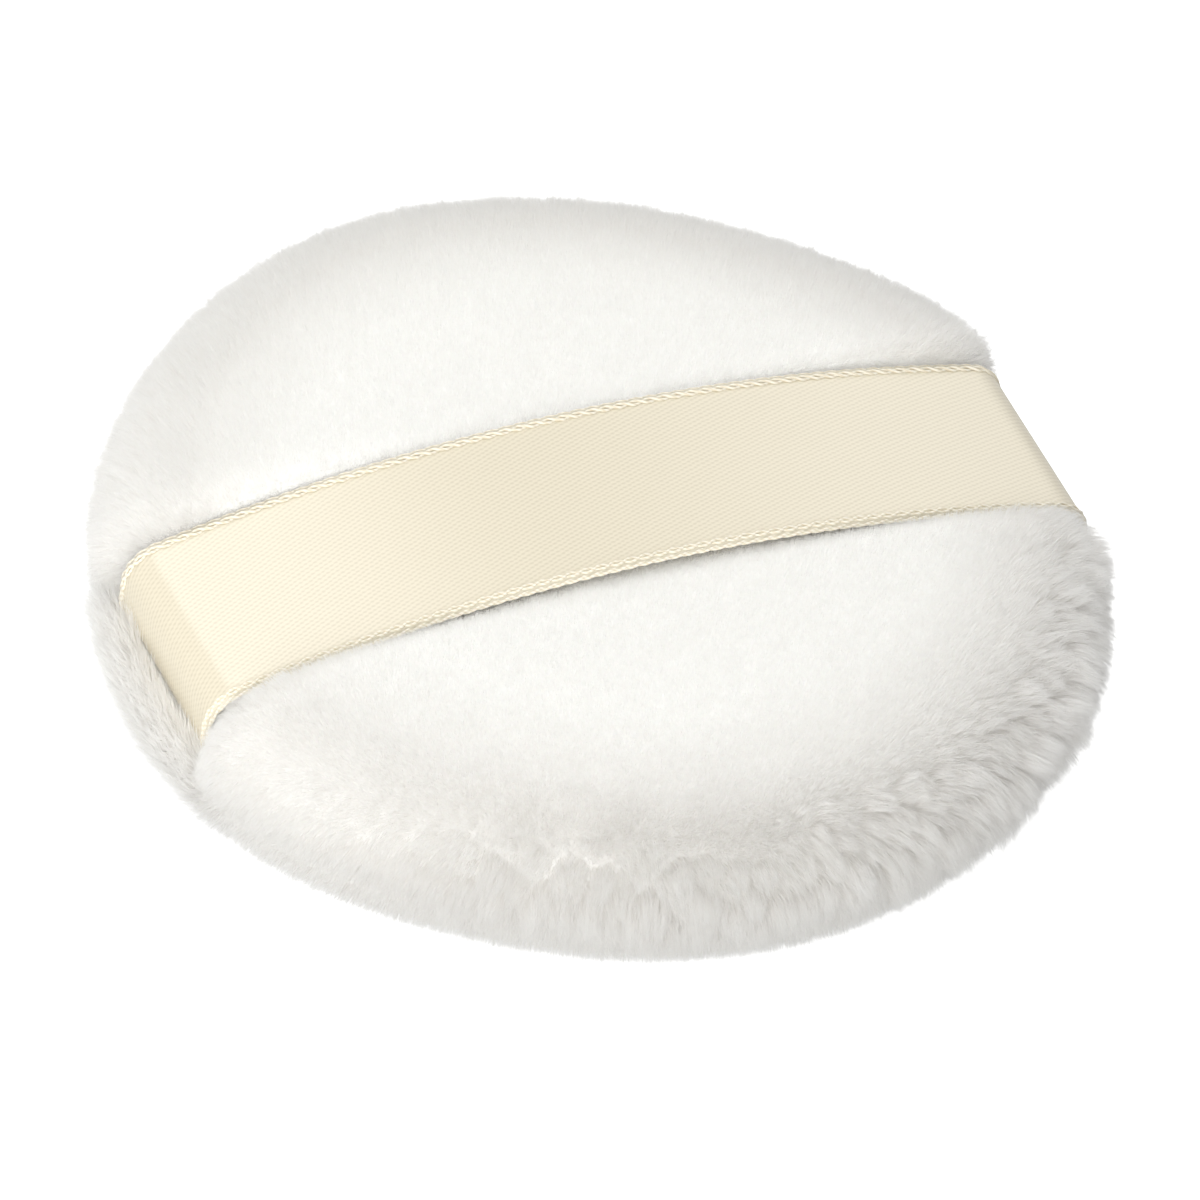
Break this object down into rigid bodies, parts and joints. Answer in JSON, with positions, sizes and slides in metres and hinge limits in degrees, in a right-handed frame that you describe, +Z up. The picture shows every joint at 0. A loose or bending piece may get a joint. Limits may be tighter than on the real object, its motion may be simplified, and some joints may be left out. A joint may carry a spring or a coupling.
{
  "type": "powder puff",
  "caption": "Round plush powder puff: a foam disc in sewn plush covers, with a satin ribbon strap arched across the top that lifts to let the fingers under it.",
  "frame": {"origin": "middle of the flat face that the puff stands on", "axes": "+Z up through the pad, X along the ribbon strap, Y across it, with the hand-closed part of the seam at +Y"},
  "size_m": [0.0752, 0.0752, 0.0172],
  "materials": {
    "plush": "white short-pile plush, soft and matt",
    "foam": "open-cell polyether foam, pale cream",
    "satin": "double-faced cream polyester satin with woven edges",
    "thread": "spun polyester sewing thread"
  },
  "bodies": {
    "pad": {"top_cover": "plush", "bottom_cover": "plush", "top_pile": "plush", "foam_core": "foam", "seam_thread": "thread", "closing_thread": "thread"},
    "strap": {"ribbon_strap": "satin"}
  },
  "joints": [
    {"name": "strap_lift", "type": "slide", "parent": "pad", "child": "strap", "axis": [0, 0, 1], "range_m": [0, 0.005], "deforming": ["ribbon_strap"]}
  ]
}
